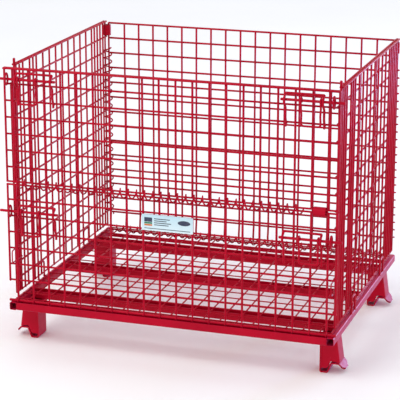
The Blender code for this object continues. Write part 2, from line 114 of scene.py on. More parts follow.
# Mesh: wire radii, distances of the layers from their panel's plane, and where rows and columns fall
GATE_UPRIGHT = 0.0033
GATE_LEVEL = 0.0029
GATE_LAYER = 0.0052
HOOK_WIRE = 0.0022
HOOK_RADIUS = 0.0064
HOOK_TOP = 0.020
HOOK_NECK = 0.0105
GATE_ROW_START = 0.203
LOWER_GATE_ROWS = 6
GATE_ROWS = 13
GATE_FOOT_RISE = 0.012
GATE_TIP = 0.003
BACK_UPRIGHT = 0.0033
BACK_LEVEL = 0.0032
BACK_LAYERS = (0.0038, 0.0095)
BACK_FOOT_WIRE = 0.0021
BACK_FOOT_Z = 0.1400
BACK_FOOT_LAYER = -0.0006
BACK_CRANK_LAYER = -0.0005
BACK_END_Z = 0.1415
BACK_CRANK_LOW = 0.160
BACK_CRANK_HIGH = 0.190
BACK_CRANK_BEND = 0.02
WALL_ROWS = 14
WIRE_TIP = 0.002
SIDE_UPRIGHT = 0.0031
SIDE_LEVEL = 0.0030
SIDE_FOOT_LEVEL = 0.0023
SIDE_LAYERS = (0.0016, -0.0028)
SIDE_FIRST = 0.065
SIDE_COLUMNS = 15
SIDE_LAST_INSET = 0.0005
SIDE_STEP_Z = 0.800
SIDE_STEP_SLACK = 0.01
SHORT_UPRIGHT_DROP = 0.006
TOP_RAIL_OUT = 0.0058
HALF_BAYS = (0.090, 0.190, 0.690, 0.740)
PIN_RADIUS = 0.004
FLOOR_WIRE = 0.0022
FLOOR_TOP_WIRE = 0.0019
FLOOR_EDGE = 0.487
FLOOR_TIP = 0.0075
FLOOR_BACK_TIP = 0.004
FLOOR_SINK = 0.0005

# Welds, as half sizes
GATE_WELD = (0.0037, 0.0028, 0.0037)
BACK_WELD = (0.0034, 0.0026, 0.0034)
SIDE_WELD = (0.0026, 0.0034, 0.0034)
FLOOR_WELD = (0.0031, 0.0031, 0.0022)
STAPLE_WELD = (0.0044, 0.0052, 0.0022)
PIN_WELD = (0.0049, 0.0049, 0.0014)
BRACKET_WELD = (0.0046, 0.0030, 0.0050)
EYE_WELD = (0.0034, 0.0062, 0.0030)
SEAM = 0.0014
FOOT_SEAM = 0.0015

# Coils
COIL_PITCH = 0.025
COIL_WIRE = 0.0023
COIL_PARTS = 18
COIL_START = -0.475
REAR_COIL_RADIUS = 0.0108
REAR_COIL_Z = 0.139
REAR_COIL_SHIFT = 0.0094
SIDE_COIL_RADIUS = 0.0142
SIDE_COIL_LOW = 0.175
SIDE_COIL_SHIFT = 0.0135
SIDE_HINGE_X = 0.485
GATE_COIL_RADIUS = 0.0130
GATE_COIL_DEPTH = -0.0025
GATE_CLIP_DEPTH = -0.0035
REAR_TURNS = 37
SIDE_TURNS = 23
GATE_TURNS = 35
CLIP_OUTER = 0.0132
CLIP_INNER = 0.0112
SIDE_CLIP = 0.034
GATE_CLIP = 0.036

# Latches
BOLT_RADIUS = 0.004
BRACKET_RADIUS = 0.0035
BRACKET_BACK = -0.0064
BRACKET_FRONT = -0.0227
BRACKET_NECK = -0.010
BRACKET_FOOT = -0.0015
BRACKET_DROP = 0.080
BRACKET_RISE = 0.017
HANDLE_RADIUS = 0.003
HANDLE_CLEARANCE = 0.0004
HANDLE_DROP = 0.072
HANDLE_WAIST = 0.0016
EYE_RADIUS = 0.003

# Sheet
SHEET = 0.003
TUBE_WALL = 0.0015
STRIP = 0.004
BEND = 0.005
EDGE = 0.0005
STRIP_EDGE = 0.0007
CLIP_EDGE = 0.0004
SHARP_DEGREES = 42
FOLDED_SHARP_DEGREES = 50

# Colours
RED = (0.47, 0.0005, 0.0190)
DEEP_RED = (0.32, 0.0003, 0.0125)
SHEEN = (0.55, 0.30, 1.0)
BARE_STEEL = (0.16, 0.13, 0.13)
PLATE_BLUE = (0.48, 0.68, 0.76)
PLATE_WHITE = (0.66, 0.80, 0.84)
PLATE_SMEAR = (0.36, 0.44, 0.50)
PLATE_DARK = (0.035, 0.045, 0.085)
PLATE_GREEN = (0.03, 0.20, 0.10)
PLATE_ORANGE = (0.60, 0.16, 0.03)
PLATE_LINES = (0.05, 0.06, 0.09)
PAPER_LIGHT = (0.97, 0.96, 0.95)
PAPER_DARK = (0.95, 0.94, 0.93)
AIR = (0.94, 0.96, 1.0)
KEY_LIGHT = (1.0, 0.98, 0.95)
RIM_LIGHT = (0.40, 0.52, 1.0)
PAINT_SHEEN = 0.35


def at(x, depth, z):
    """A world point, from its depth behind the gate's plane."""
    return Vector((x, GATE_Y + depth, z))


# ---- shapes ----


class Shape:
    """The vertices and faces of one piece. Each face remembers which of the piece's materials it wears."""

    def __init__(self):
        self.points = []
        self.faces = []
        self.looks = []
        self.look = 0

    def ring(self, points):
        start = len(self.points)
        self.points += points
        return list(range(start, len(self.points)))

    def face(self, corners):
        self.faces.append(corners)
        self.looks.append(self.look)

    def bridge(self, a, b):
        for n in range(len(a)):
            m = (n + 1) % len(a)
            self.face([a[n], a[m], b[m], b[n]])


def bent(points, radius, closed=False, parts=5):
    """The path through these points, with each corner rounded to about this radius."""
    points = [Vector(p) for p in points]
    count = len(points)
    path = []
    for i, corner in enumerate(points):
        if not closed and i in (0, count - 1):
            path.append(corner)
            continue
        back = points[i - 1] - corner
        on = points[(i + 1) % count] - corner
        half_angle = back.angle(on) / 2
        if half_angle > math.radians(89):
            path.append(corner)
            continue
        reach = min(radius / math.tan(half_angle), 0.49 * back.length, 0.49 * on.length)
        start = corner + back.normalized() * reach
        end = corner + on.normalized() * reach
        for n in range(parts + 1):
            t = n / parts
            path.append(start * (1 - t) ** 2 + corner * 2 * t * (1 - t) + end * t**2)
    return path


def domed(path, radius):
    """The path and its radii, with two rings added at each end to round it off."""
    first = (path[1] - path[0]).normalized()
    last = (path[-1] - path[-2]).normalized()
    head = [path[0], path[0] + first * 0.15 * radius, path[0] + first * 0.55 * radius]
    tail = [path[-1] - last * 0.55 * radius, path[-1] - last * 0.15 * radius, path[-1]]
    ends = [0.45 * radius, 0.80 * radius, radius]
    radii = ends + [radius] * (len(path) - 2) + ends[::-1]
    return head + path[1:-1] + tail, radii


def tube(shape, path, radius, sides=10, closed=False):
    """A round bar along a smooth path, with domed ends."""
    path = [Vector(p) for p in path]
    radii = [radius] * len(path)
    if not closed:
        path, radii = domed(path, radius)
    count = len(path)
    runs = [(path[(i + 1) % count] - path[i]).normalized() for i in range(count)]
    rings = []
    tangent = normal = None
    for i in range(count):
        before = runs[i - 1] if closed or i > 0 else runs[0]
        after = runs[i] if closed or i < count - 1 else before
        turned = (before + after).normalized()
        if tangent is None:
            normal = turned.orthogonal().normalized()
        else:
            normal = tangent.rotation_difference(turned) @ normal
        tangent = turned
        across = tangent.cross(normal)
        ring = []
        for n in range(sides):
            angle = 2 * math.pi * n / sides
            ring.append(path[i] + radii[i] * (math.cos(angle) * normal + math.sin(angle) * across))
        rings.append(shape.ring(ring))
    for a, b in zip(rings, rings[1:]):
        shape.bridge(a, b)
    if closed:
        shape.bridge(rings[-1], rings[0])
    else:
        shape.face(rings[0][::-1])
        shape.face(rings[-1])


def blob(shape, centre, radii, sides=8, levels=4):
    """A small rounded lump, such as a weld."""
    top = shape.ring([centre + Vector((0, 0, radii[2]))])
    rings = []
    for i in range(1, levels):
        tilt = math.pi * i / levels
        ring = []
        for n in range(sides):
            angle = 2 * math.pi * n / sides
            flat = math.sin(tilt)
            offset = (flat * math.cos(angle), flat * math.sin(angle), math.cos(tilt))
            ring.append(centre + Vector(r * o for r, o in zip(radii, offset)))
        rings.append(shape.ring(ring))
    bottom = shape.ring([centre - Vector((0, 0, radii[2]))])
    for n in range(sides):
        m = (n + 1) % sides
        shape.face([top[0], rings[0][n], rings[0][m]])
        shape.face([bottom[0], rings[-1][m], rings[-1][n]])
    for a, b in zip(rings, rings[1:]):
        shape.bridge(a, b)


def mesh_weld(shape, centre, radii):
    """The small weld where two wires of a mesh cross."""
    blob(shape, centre, radii, sides=6, levels=3)


def bead(shape, start, end, radius):
    """A weld seam, as a row of overlapping lumps."""
    start, end = Vector(start), Vector(end)
    count = max(2, round((end - start).length / (1.6 * radius)))
    for n in range(count):
        swell = 1 + 0.12 * math.sin(2.4 * n)
        point = start.lerp(end, (n + 0.5) / count)
        blob(shape, point, (radius * swell,) * 3, sides=6)


def extrude(shape, outline, place, low, high):
    """A closed outline (u, v) run from low to high. place turns (u, v, w) into a world point."""
    a = shape.ring([place(u, v, low) for u, v in outline])
    b = shape.ring([place(u, v, high) for u, v in outline])
    shape.bridge(a, b)
    shape.face(a[::-1])
    shape.face(b)


def hollow(shape, outer, inner, place, low, high):
    """A tube with open ends, between two outlines of the same number of points."""
    loops = [(outer, low), (outer, high), (inner, high), (inner, low)]
    rings = [shape.ring([place(u, v, w) for u, v in outline]) for outline, w in loops]
    for n, a in enumerate(rings):
        shape.bridge(a, rings[(n + 1) % len(rings)])


def sheet_outline(points, thickness, bend):
    """The outline of a bent strip whose right-hand face follows the points, with rounded bends."""
    points = [Vector(p) for p in points]
    normals = []
    for a, b in zip(points, points[1:]):
        run = (b - a).normalized()
        normals.append(Vector((-run.y, run.x)))
    inner = []
    for n, point in enumerate(points):
        before = normals[max(n - 1, 0)]
        after = normals[min(n, len(normals) - 1)]
        mean = (before + after).normalized()
        inner.append(point + mean * thickness / mean.dot(before))
    return bent(points, bend) + bent(inner, bend)[::-1]


def box_outline(u0, v0, u1, v1, radius):
    return bent([(u0, v0), (u1, v0), (u1, v1), (u0, v1)], radius, closed=True)


# ---- pieces ----


def piece(shape, nodes, slot, sharp=SHARP_DEGREES, looks=None):
    """Turns a shape into the piece that stands for these CAD nodes, on the same body."""
    name = nodes[0] + "_steel"
    data = bpy.data.meshes.new(name)
    data.from_pydata([tuple(p) for p in shape.points], [], shape.faces)
    data.polygons.foreach_set("material_index", shape.looks)
    for material in looks or [LOOKS[slot]]:
        data.materials.append(material)
    mesh = bmesh.new()
    mesh.from_mesh(data)
    bmesh.ops.recalc_face_normals(mesh, faces=mesh.faces)
    mesh.to_mesh(data)
    mesh.free()
    data.shade_smooth()
    data.set_sharp_from_angle(angle=math.radians(sharp))
    made = bpy.data.objects.new(name, data)
    bpy.context.scene.collection.objects.link(made)
    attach(made, frame["nodes"][nodes[0]]["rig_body"])
    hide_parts(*nodes)
    return made


def roll_edges(made, width=EDGE):
    """Takes the sharpness off sheet edges."""
    bevel = made.modifiers.new("edges", "BEVEL")
    bevel.width = width
    bevel.segments = 2
    bevel.limit_method = "ANGLE"
    bevel.angle_limit = math.radians(50)
    bevel.harden_normals = False


# ---- materials ----


def node(tree, kind, **values):
    made = tree.nodes.new(kind)
    for name, value in values.items():
        made.inputs[name.replace("_", " ")].default_value = value
    return made


def noise(tree, where, scale, detail, rough=0.5):
    made = node(tree, "ShaderNodeTexNoise", Scale=scale, Detail=detail, Roughness=rough)
    tree.links.new(where, made.inputs["Vector"])
    return made.outputs["Fac"]


def spread(tree, value, low, high, to_low, to_high):
    made = tree.nodes.new("ShaderNodeMapRange")
    tree.links.new(value, made.inputs["Value"])
    for name, number in zip(("From Min", "From Max", "To Min", "To Max"), (low, high, to_low, to_high)):
        made.inputs[name].default_value = number
    return made.outputs["Result"]


def maths(tree, operation, first, second):
    made = tree.nodes.new("ShaderNodeMath")
    made.operation = operation
    for n, value in enumerate((first, second)):
        if isinstance(value, (int, float)):
            made.inputs[n].default_value = value
        else:
            tree.links.new(value, made.inputs[n])
    return made.outputs["Value"]


def mixed(tree, share, first, second):
    """A colour between two, each a tuple or a socket."""
    made = tree.nodes.new("ShaderNodeMix")
    made.data_type = "RGBA"
    tree.links.new(share, made.inputs["Factor"])
    sockets = [s for s in made.inputs if s.type == "RGBA"]
    for socket, value in zip(sockets, (first, second)):
        if isinstance(value, tuple):
            socket.default_value = (*value, 1)
        else:
            tree.links.new(value, socket)
    return next(s for s in made.outputs if s.type == "RGBA")


def bumped(tree, height, strength, distance, before=None):
    made = node(tree, "ShaderNodeBump", Strength=strength, Distance=distance)
    tree.links.new(height, made.inputs["Height"])
    if before:
        tree.links.new(before, made.inputs["Normal"])
    return made.outputs["Normal"]


def new_material(name):
    material = bpy.data.materials.new(name)
    material.use_nodes = True
    tree = material.node_tree
    shader = next(n for n in tree.nodes if n.type == "BSDF_PRINCIPLED")
    where = tree.nodes.new("ShaderNodeTexCoord").outputs["Object"]
    return material, tree, shader, where


def red_paint(name, roughness, chips, shade=0.5, ground=None, sheen=0.0):
    """Glossy sprayed enamel: uneven coat, orange peel, and chips that show grey steel.

    A larger chips value bares more steel, and near the height ground more of it is bare.
    """
    material, tree, shader, where = new_material(name)
    coat = noise(tree, where, scale=14, detail=3)
    colour = mixed(tree, spread(tree, coat, 0.35, 0.7, 0, shade), RED, DEEP_RED)
    patches = noise(tree, where, scale=210, detail=5, rough=0.62)
    intact, blur = 0.73, 0.02
    edge = intact - chips
    mask = patches
    if ground is not None:
        height = tree.nodes.new("ShaderNodeSeparateXYZ")
        tree.links.new(where, height.inputs["Vector"])
        reach, gain = 0.02, 0.11
        near = spread(tree, height.outputs["Z"], ground, ground + reach, gain, 0)
        mask = maths(tree, "ADD", patches, near)
    bare = spread(tree, mask, edge, edge + blur, 0, 1)
    tree.links.new(mixed(tree, bare, colour, BARE_STEEL), shader.inputs["Base Color"])
    haze = noise(tree, where, scale=60, detail=4)
    gloss = spread(tree, haze, 0.3, 0.7, roughness - 0.05, roughness + 0.09)
    dulled = maths(tree, "ADD", gloss, maths(tree, "MULTIPLY", bare, 0.15))
    tree.links.new(dulled, shader.inputs["Roughness"])
    grain = noise(tree, where, scale=700, detail=2)
    peel = bumped(tree, grain, strength=0.10, distance=0.0002)
    relief = bumped(tree, spread(tree, bare, 0, 1, 1, 0), strength=0.5, distance=0.0003, before=peel)
    tree.links.new(relief, shader.inputs["Normal"])
    shader.inputs["Specular IOR Level"].default_value = 0.10
    shader.inputs["Sheen Weight"].default_value = sheen
    shader.inputs["Sheen Roughness"].default_value = 0.30
    shader.inputs["Sheen Tint"].default_value = (*SHEEN, 1)
    return material


def print_paint(name, colour, roughness):
    """Flat printing on the label plate, a little uneven."""
    material, tree, shader, where = new_material(name)
    chalk, share = 0.60, 0.10
    faded = tuple(c + (chalk - c) * share for c in colour)
    wear = spread(tree, noise(tree, where, scale=160, detail=4), 0.4, 0.75, 0, 1)
    tree.links.new(mixed(tree, wear, colour, faded), shader.inputs["Base Color"])
    haze = noise(tree, where, scale=90, detail=3)
    gloss = spread(tree, haze, 0.3, 0.7, roughness, roughness + 0.12)
    tree.links.new(gloss, shader.inputs["Roughness"])
    grain = noise(tree, where, scale=700, detail=2)
    tree.links.new(bumped(tree, grain, strength=0.15, distance=0.0002), shader.inputs["Normal"])
    shader.inputs["Specular IOR Level"].default_value = 0.15
    return material


def plate_face(name):
    """The label plate's ground: pale blue that turns white towards its foot, with faint smears."""
    material, tree, shader, where = new_material(name)
    height = tree.nodes.new("ShaderNodeSeparateXYZ")
    tree.links.new(where, height.inputs["Vector"])
    low, high = (corner.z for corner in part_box("label_plate"))
    up = spread(tree, height.outputs["Z"], low, high, 0, 1)
    ground = mixed(tree, up, PLATE_WHITE, PLATE_BLUE)
    smear = spread(tree, noise(tree, where, scale=45, detail=5, rough=0.6), 0.5, 0.8, 0, 0.35)
    tree.links.new(mixed(tree, smear, ground, PLATE_SMEAR), shader.inputs["Base Color"])
    haze = noise(tree, where, scale=120, detail=3)
    gloss = spread(tree, haze, 0.3, 0.7, 0.28, 0.42)
    tree.links.new(gloss, shader.inputs["Roughness"])
    grain = noise(tree, where, scale=500, detail=2)
    tree.links.new(bumped(tree, grain, strength=0.12, distance=0.0003), shader.inputs["Normal"])
    return material


def make_looks():
    return {
        "frame_paint": red_paint("frame_enamel", roughness=0.32, chips=0.02, sheen=PAINT_SHEEN),
        "foot_paint": red_paint("foot_enamel", roughness=0.34, chips=0.03, ground=0.0, sheen=PAINT_SHEEN),
        "mesh_paint": red_paint("mesh_enamel", roughness=0.34, chips=0.0),
        "rod_paint": red_paint("rod_enamel", roughness=0.32, chips=0.015),
        "coil_paint": red_paint("coil_enamel", roughness=0.38, chips=0.01, shade=0.8),
        "clip_paint": red_paint("clip_enamel", roughness=0.30, chips=0.02),
        "latch_paint": red_paint("latch_enamel", roughness=0.30, chips=0.045),
        "label_face": plate_face("plate_print"),
    }


# ---- base ----


def channel(name):
    """An open-topped channel with bent lower corners, running between the side rails. The real one is
    welded to them at its ends; these welds are not drawn.
    """
    low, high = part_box(name)
    depth_low, depth_high = low.y - GATE_Y, high.y - GATE_Y
    run = [(depth_low, high.z), (depth_low, low.z), (depth_high, low.z), (depth_high, high.z)]
    shape = Shape()
    extrude(shape, sheet_outline(run, SHEET, BEND), lambda u, v, w: at(w, u, v), low.x, high.x)
    made = piece(shape, [name], "frame_paint")
    roll_edges(made)


def rear_rail():
    """An angle whose upright flange faces the floor mesh and ends below the back panel's coil."""
    low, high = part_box("rear_rail")
    depth_low, depth_high = low.y - GATE_Y, high.y - GATE_Y
    run = [(depth_low, high.z), (depth_low, low.z), (depth_high, low.z)]
    shape = Shape()
    extrude(shape, sheet_outline(run, SHEET, BEND), lambda u, v, w: at(w, u, v), low.x, high.x)
    made = piece(shape, ["rear_rail"], "frame_paint")
    roll_edges(made)


def side_rail(name):
    """A rectangular tube with round corners. Its ends are open."""
    low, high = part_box(name)
    outer = box_outline(low.x, low.z, high.x, high.z, BEND)
    wall = TUBE_WALL
    inner = box_outline(low.x + wall, low.z + wall, high.x - wall, high.z - wall, BEND - wall)
    shape = Shape()
    hollow(shape, outer, inner, lambda u, v, w: Vector((u, w, v)), low.y, high.y)
    made = piece(shape, [name], "frame_paint")
    roll_edges(made)


def floor_mesh():
    """Two layers of wire, welded where they cross."""
    shape = Shape()
    lower = FLOOR_LOW + FLOOR_WIRE
    upper = lower + FLOOR_WIRE + FLOOR_TOP_WIRE - FLOOR_SINK
    columns = [n * PITCH for n in range(-9, 10)] + [-FLOOR_EDGE, FLOOR_EDGE]
    rows = round((FLOOR_BACK - FLOOR_FRONT) / PITCH)
    step = (FLOOR_BACK - FLOOR_FRONT) / rows
    for x in columns:
        ends = [at(x, FLOOR_TIP, lower), at(x, FLOOR_BACK + FLOOR_BACK_TIP, lower)]
        tube(shape, ends, FLOOR_WIRE, sides=8)
    for n in range(rows + 1):
        depth = FLOOR_FRONT + n * step
        ends = [at(side * (FLOOR_EDGE + FLOOR_WIRE), depth, upper) for side in (-1, 1)]
        tube(shape, ends, FLOOR_TOP_WIRE, sides=8)
        for x in columns:
            mesh_weld(shape, at(x, depth, (lower + upper) / 2), FLOOR_WELD)
    piece(shape, ["floor_mesh"], "mesh_paint")


def hinge_rods():
    """The front rod is welded to the side rails by two short seams at each end."""
    seam_depth = 0.0034
    seam_inner, seam_outer = 0.481, 0.497
    front = Shape()
    radius = half_size("front_hinge_rod").z
    tube(front, [at(-ROD_REACH, 0, ROD_Z), at(ROD_REACH, 0, ROD_Z)], radius, sides=16)
    low = ROD_Z - radius
    for side in SIDES.values():
        for depth in (-seam_depth, seam_depth):
            bead(front, at(side * seam_inner, depth, low), at(side * seam_outer, depth, low), SEAM)
    piece(front, ["front_hinge_rod"], "rod_paint")
    back = Shape()
    centre, reach = middle("rear_hinge_rod"), half_size("rear_hinge_rod")
    ends = [centre + Vector((side * reach.x, 0, 0)) for side in (-1, 1)]
    tube(back, ends, reach.z, sides=12)
    piece(back, ["rear_hinge_rod"], "rod_paint")


def staple(name):
    """An upside-down U of round bar, welded to the top of a side rail."""
    low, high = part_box(name)
    radius = (high.x - low.x) / 2
    x = (low.x + high.x) / 2
    front, back = low.y + radius, high.y - radius
    top = high.z - radius
    shape = Shape()
    corners = [(x, front, low.z), (x, front, top), (x, back, top), (x, back, low.z)]
    bend = 0.011
    tube(shape, bent(corners, bend, parts=7), radius, sides=12)
    weld_z = low.z + 0.0008
    for y in (front, back):
        blob(shape, Vector((x, y, weld_z)), STAPLE_WELD, sides=12, levels=5)
    piece(shape, [name], "rod_paint")


# ---- feet ----

FOOT_INNER = 0.441
FOOT_OUTER = 0.490
FOOT_FLARE = 0.501
FLARE_Z = 0.034
LEDGE = (0.477, 0.498)
LEDGE_Z = 0.029
TOE = (0.445, 0.463)
TOE_CORNER_Z = 0.004
TOE_RISE = (0.467, 0.003)
LIP = (0.514, 0.012)
LIP_STEP = 0.003
LIP_ROUNDING = 0.94
STRIP_BEND = 0.003
TOE_OPENING = 0.010
SHELL_CORNER_X = 0.475
SHELL_CORNER_RISE = 0.004
SHELL_BEND = 0.0055
SHELL_STEP = 0.004


def split_past(outline, start, step):
    """The outline with a point every step along the edges that lie past u = start."""
    points = []
    for (u, v), (next_u, next_v) in zip(outline, outline[1:] + outline[:1]):
        points.append((u, v))
        if min(u, next_u) < start:
            continue
        parts = math.ceil(math.hypot(next_u - u, next_v - v) / step)
        for n in range(1, parts):
            share = n / parts
            points.append((u + (next_u - u) * share, v + (next_v - v) * share))
    return points


def foot_strip(name, side):
    """The inner wall, toe, ledge and lip: one bent strip."""
    low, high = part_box(f"{name}_strip")
    run = [
        (FOOT_INNER, high.z),
        (FOOT_INNER, TOE_CORNER_Z),
        (TOE[0], 0),
        (TOE[1], 0),
        TOE_RISE,
        (LEDGE[0], LEDGE_Z),
        (LEDGE[1], LEDGE_Z),
        LIP,
    ]
    shape = Shape()
    outline = split_past(sheet_outline(run, STRIP, STRIP_BEND), LEDGE[1], LIP_STEP)
    middle_y, half_depth = (low.y + high.y) / 2, (high.y - low.y) / 2
    levels = 14
    rings = []
    for n in range(levels + 1):
        share = -math.cos(math.pi * n / levels)
        ring = []
        for u, v in outline:
            past = min(1, max(0, u - LEDGE[1]) / (LIP[0] - LEDGE[1]))
            width = half_depth * math.sqrt(1 - (LIP_ROUNDING * past) ** 4)
            ring.append(Vector((side * u, middle_y + share * width, v)))
        rings.append(shape.ring(ring))
    for a, b in zip(rings, rings[1:]):
        shape.bridge(a, b)
    shape.face(rings[0][::-1])
    shape.face(rings[-1])
    x = side * FOOT_INNER
    seam_inset = 0.002
    seam_z = high.z - 0.001
    bead(shape, (x, low.y + seam_inset, seam_z), (x, high.y - seam_inset, seam_z), FOOT_SEAM)
    made = piece(shape, [f"{name}_strip"], "foot_paint")
    roll_edges(made, STRIP_EDGE)


def shell_floor(x):
    """The height of a foot shell's lower edge. It clears the strip and rises to the flare."""
    low_x, low_z = TOE[1], STRIP + TOE_OPENING
    high_x, high_z = SHELL_CORNER_X, FLARE_Z + SHELL_CORNER_RISE
    if x < low_x:
        return low_z
    if x < high_x:
        return low_z + (high_z - low_z) * (x - low_x) / (high_x - low_x)
    return high_z + (FLARE_Z - high_z) * (x - high_x) / (FOOT_FLARE - high_x)


def foot_shell(name, side):
    """Front, outer and rear walls folded from one sheet. The outer wall flares towards its foot."""
    low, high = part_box(f"{name}_shell")
    inner_x = min(abs(low.x), abs(high.x))
    span = FOOT_OUTER - inner_x
    wall = bent([(0, low.y), (span, low.y), (span, high.y), (0, high.y)], SHELL_BEND, parts=6)
    plan = []
    for a, b in zip(wall, wall[1:]):
        parts = max(1, round((b - a).length / SHELL_STEP))
        plan += [a.lerp(b, n / parts) for n in range(parts)]
    plan.append(wall[-1])
    levels = 12
    shape = Shape()
    rings = []
    for n in range(levels + 1):
        ring = []
        for across, y in plan:
            share = across / span
            edge = shell_floor(inner_x + share * (FOOT_FLARE - inner_x))
            z = high.z + (edge - high.z) * n / levels
            reach = FOOT_OUTER + (FOOT_FLARE - FOOT_OUTER) * (high.z - z) / (high.z - FLARE_Z)
            ring.append(Vector((side * (inner_x + share * (reach - inner_x)), y, z)))
        rings.append(shape.ring(ring))
    for a, b in zip(rings, rings[1:]):
        for n in range(len(plan) - 1):
            shape.face([a[n], a[n + 1], b[n + 1], b[n]])
    made = piece(shape, [f"{name}_shell"], "foot_paint", sharp=FOLDED_SHARP_DEGREES)
    outward = made.data.polygons[len(plan) // 2].normal.x * side > 0
    solid = made.modifiers.new("sheet", "SOLIDIFY")
    solid.thickness = SHEET
    solid.offset = -1 if outward else 1
    solid.use_even_offset = True
    roll_edges(made)


# ---- back and sides ----


def back_panel():
    """Uprights inside, cranked outward near their feet, and levels outside.

    The thin lowest level runs inside the hinge coil, close to the panel's plane.
    """
    shape = Shape()
    inside, outside = (BACK + layer for layer in BACK_LAYERS)
    columns = [(n + 0.5) * PITCH for n in range(-9, 9)] + [-BACK_EDGE, BACK_EDGE]
    crank = BACK + BACK_CRANK_LAYER
    for x in columns:
        path = [
            at(x, crank, BACK_END_Z),
            at(x, crank, BACK_CRANK_LOW),
            at(x, inside, BACK_CRANK_HIGH),
            at(x, inside, BACK_TOP + WIRE_TIP),
        ]
        tube(shape, bent(path, BACK_CRANK_BEND), BACK_UPRIGHT, sides=8)
    reach = BACK_EDGE + BACK_UPRIGHT
    foot = BACK + BACK_FOOT_LAYER
    tube(shape, [at(-reach, foot, BACK_FOOT_Z), at(reach, foot, BACK_FOOT_Z)], BACK_FOOT_WIRE, sides=8)
    for n in range(WALL_ROWS):
        z = BACK_TOP - n * PITCH
        tube(shape, [at(-reach, outside, z), at(reach, outside, z)], BACK_LEVEL, sides=8)
        for x in columns:
            mesh_weld(shape, at(x, (inside + outside) / 2, z), BACK_WELD)
    piece(shape, ["back_panel"], "mesh_paint")


def side_panel(name, side):
    """Uprights outside, levels inside, and a double top rail that grips the uprights.

    The thin lowest level lies in the uprights' own layer, clear of the back panel when the side folds.
    """
    outer = side * (SIDE_X + SIDE_LAYERS[0])
    inner = side * (SIDE_X + SIDE_LAYERS[1])
    shape = Shape()
    full = [SIDE_FIRST + n * PITCH for n in range(SIDE_COLUMNS)] + [BACK - SIDE_LAST_INSET]
    for depth in full + list(HALF_BAYS[1:]):
        upright = [at(outer, depth, SIDE_LOW), at(outer, depth, SIDE_TOP + WIRE_TIP)]
        tube(shape, upright, SIDE_UPRIGHT, sides=8)
    short_top = SIDE_TOP - SHORT_UPRIGHT_DROP
    short = [at(outer, HALF_BAYS[0], SIDE_LOW), at(outer, HALF_BAYS[0], short_top)]
    tube(shape, short, SIDE_UPRIGHT, sides=8)
    front = [at(outer, SIDE_FRONT, SIDE_LOW), at(outer, SIDE_FRONT, SIDE_STEP_Z + WIRE_TIP)]
    tube(shape, front, SIDE_UPRIGHT, sides=8)
    corner_top = SIDE_TOP + CAD_WIRE / 2
    corner = [at(side * SIDE_X, PIN_DEPTH, SIDE_LOW), at(side * SIDE_X, PIN_DEPTH, corner_top)]
    tube(shape, corner, PIN_RADIUS, sides=14)
    levels = [SIDE_TOP - n * PITCH for n in range(WALL_ROWS)] + [SIDE_LOW]
    for z in levels:
        start = PIN_DEPTH if z > SIDE_STEP_Z + SIDE_STEP_SLACK else SIDE_FRONT - WIRE_TIP
        radius, x = (SIDE_FOOT_LEVEL, outer) if z == SIDE_LOW else (SIDE_LEVEL, inner)
        tube(shape, [at(x, start, z), at(x, BACK + WIRE_TIP, z)], radius, sides=8)
        for depth in full + list(HALF_BAYS):
            mesh_weld(shape, at(side * SIDE_X, depth, z), SIDE_WELD)
    rail = side * (SIDE_X + TOP_RAIL_OUT)
    top = [at(rail, PIN_DEPTH, SIDE_TOP), at(rail, BACK + WIRE_TIP, SIDE_TOP)]
    tube(shape, top, SIDE_LEVEL, sides=8)
    piece(shape, [name], "mesh_paint")


def corner_pin(name, side):
    """The corner wire's end, which stands above the top rail for the box stacked on it."""
    shape = Shape()
    x = side * SIDE_X
    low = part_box(name)[0].z
    tube(shape, [at(x, PIN_DEPTH, low), at(x, PIN_DEPTH, PIN_TOP)], PIN_RADIUS, sides=16)
    weld_z = low + 0.0012
    blob(shape, at(x, PIN_DEPTH, weld_z), PIN_WELD, sides=14, levels=5)
    piece(shape, [name], "rod_paint")


def keeper(name, side):
    """A narrow U whose closed end reaches out through the gate's mesh."""
    low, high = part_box(name)
    radius = (high.x - low.x) / 2
    inset = 0.0025
    x = side * (SIDE_X - inset)
    front = low.y - GATE_Y + radius
    neck = front + 0.012
    bottom, top = low.z + radius, high.z - radius
    back = SIDE_FIRST + 0.002
    pinch = 0.0015
    path = [
        at(x, back, bottom),
        at(x, neck, bottom),
        at(x, front, bottom + pinch),
        at(x, front, top - pinch),
        at(x, neck, top),
        at(x, back, top),
    ]
    shape = Shape()
    bend = 0.008
    tube(shape, bent(path, bend), radius, sides=10)
    piece(shape, [name], "rod_paint")


def helix(name, centre, across, up, along, turns, radius, shift):
    """A coil of round wire. It crosses the across direction at shift past whole pitches."""
    path = []
    for n in range(turns * COIL_PARTS + 1):
        angle = 2 * math.pi * n / COIL_PARTS
        spoke = radius * (math.cos(angle) * across + math.sin(angle) * up)
        path.append(centre + spoke + along * (shift + COIL_PITCH * n / COIL_PARTS))
    shape = Shape()
    tube(shape, path, COIL_WIRE, sides=8)
    piece(shape, [name], "coil_paint")


def clip(name, centre, along, length):
    """A sheet strap rolled round both panels' edge wires, with a narrow gap between its ends."""
    across = along.orthogonal().normalized()
    up = along.cross(across)
    seam, gap = math.radians(200), math.radians(10)
    parts = 40
    outline = []
    for radius, order in ((CLIP_OUTER, range(parts + 1)), (CLIP_INNER, range(parts, -1, -1))):
        for n in order:
            angle = seam + gap / 2 + (2 * math.pi - gap) * n / parts
            outline.append((radius * math.cos(angle), radius * math.sin(angle)))

    def place(u, v, w):
        return centre + u * across + v * up + w * along

    shape = Shape()
    extrude(shape, outline, place, -length / 2, length / 2)
    made = piece(shape, [name], "clip_paint", sharp=FOLDED_SHARP_DEGREES)
    roll_edges(made, CLIP_EDGE)


# ---- gate ----


